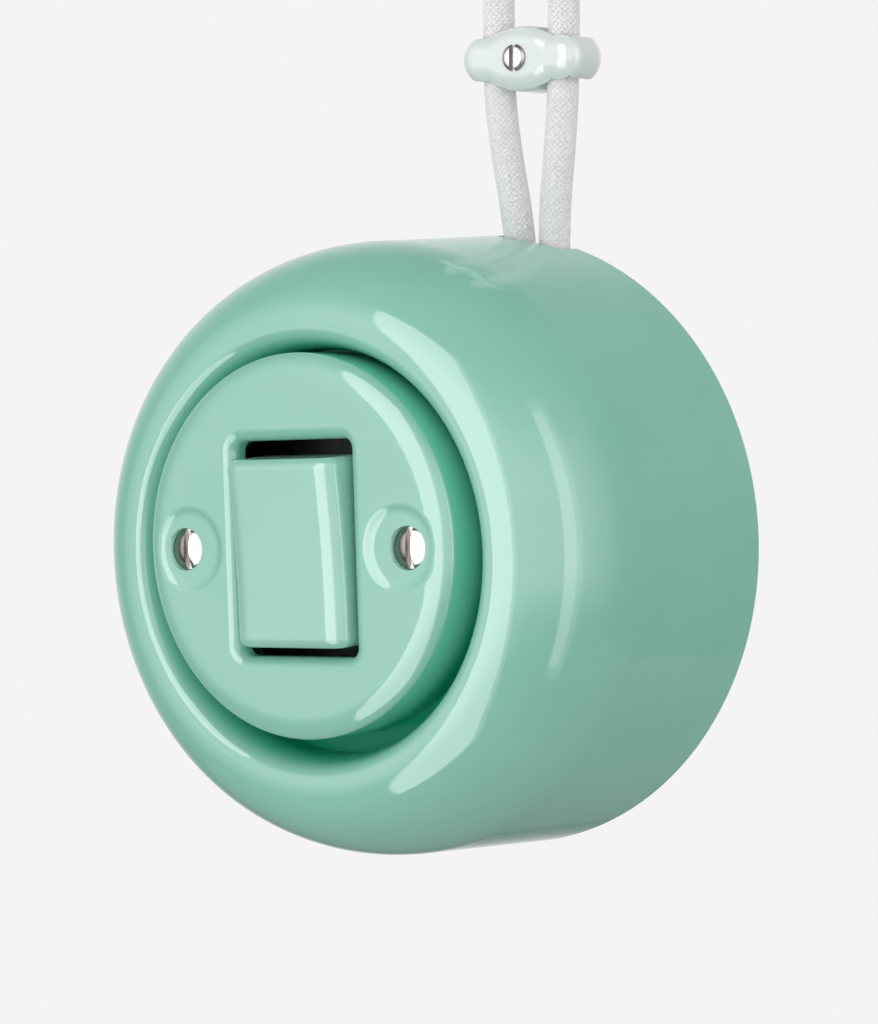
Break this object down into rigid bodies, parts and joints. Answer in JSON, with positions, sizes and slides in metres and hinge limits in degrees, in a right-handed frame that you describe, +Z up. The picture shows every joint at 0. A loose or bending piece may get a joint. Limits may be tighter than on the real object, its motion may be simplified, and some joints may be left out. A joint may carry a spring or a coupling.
{
  "type": "surface-mounted light switch",
  "caption": "Round surface-mounted rocker light switch in mint glazed porcelain, with textile cables leaving the top through a notch and held by a porcelain cleat",
  "frame": {"origin": "centre of the round back face, on the wall", "axes": "+Y into the wall, +Z up, +X to the right seen from the front"},
  "size_m": [0.1, 0.0584, 0.155],
  "materials": {
    "mint_glaze": "glossy mint-green glaze on porcelain",
    "pale_glaze": "glossy pale mint glaze on porcelain",
    "nickel_plate": "bright nickel plate",
    "zinc_steel": "dull zinc plate",
    "black_steel": "blackened steel",
    "spring_steel": "drawn spring wire",
    "white_thermoset": "matte moulded thermoset",
    "black_thermoset": "matte black moulded thermoset",
    "brass": "plain stamped brass",
    "copper": "bare drawn copper",
    "braided_textile": "grey-white braided textile",
    "brown_insulation": "brown core insulation",
    "black_insulation": "black core insulation"
  },
  "bodies": {
    "base": {"housing": "mint_glaze", "front_insert": "mint_glaze", "cover_screws": "nickel_plate", "mounting_frame": "black_steel", "frame_screws": "black_steel", "mechanism_screws": "black_steel", "mechanism_block": "black_thermoset", "common_contact": "brass", "contact_pin": "zinc_steel", "upper_contact": "brass", "lower_contact": "brass", "terminals": "brass", "terminal_screws": "zinc_steel", "base_plate": "white_thermoset", "pillars": "brass", "pillar_screws": "zinc_steel", "cable_left": "braided_textile", "cable_right": "braided_textile", "conductor_left": "copper", "conductor_right": "copper", "wire_left": "brown_insulation", "wire_right": "black_insulation", "cable_grip": "white_thermoset", "grip_screws": "zinc_steel", "cleat": "pale_glaze", "cleat_screw": "nickel_plate"},
    "rocker": {"rocker": "mint_glaze", "rocker_pins": "black_steel", "plunger_spring": "spring_steel"},
    "plunger": {"plunger": "white_thermoset"},
    "contact": {"rocking_contact": "brass"}
  },
  "joints": [
    {"name": "rocker_tilt", "type": "hinge", "parent": "base", "child": "rocker", "pos_m": [0, -0.045, 0.001], "axis": [1, 0, 0], "range_deg": [-7, 0]},
    {"name": "plunger_slide", "type": "slide", "parent": "rocker", "child": "plunger", "axis": [0, -0.9981, -0.061], "range_m": [0, 0.0005], "stiffness_N_per_m": 300, "springref_m": -0.004},
    {"name": "contact_rock", "type": "hinge", "parent": "base", "child": "contact", "pos_m": [0, -0.0275, 0.001], "axis": [1, 0, 0], "range_deg": [0, 8]}
  ],
  "couplings": [
    {"joint": "contact_rock", "follows": "rocker_tilt", "ratio": -1.14}
  ]
}
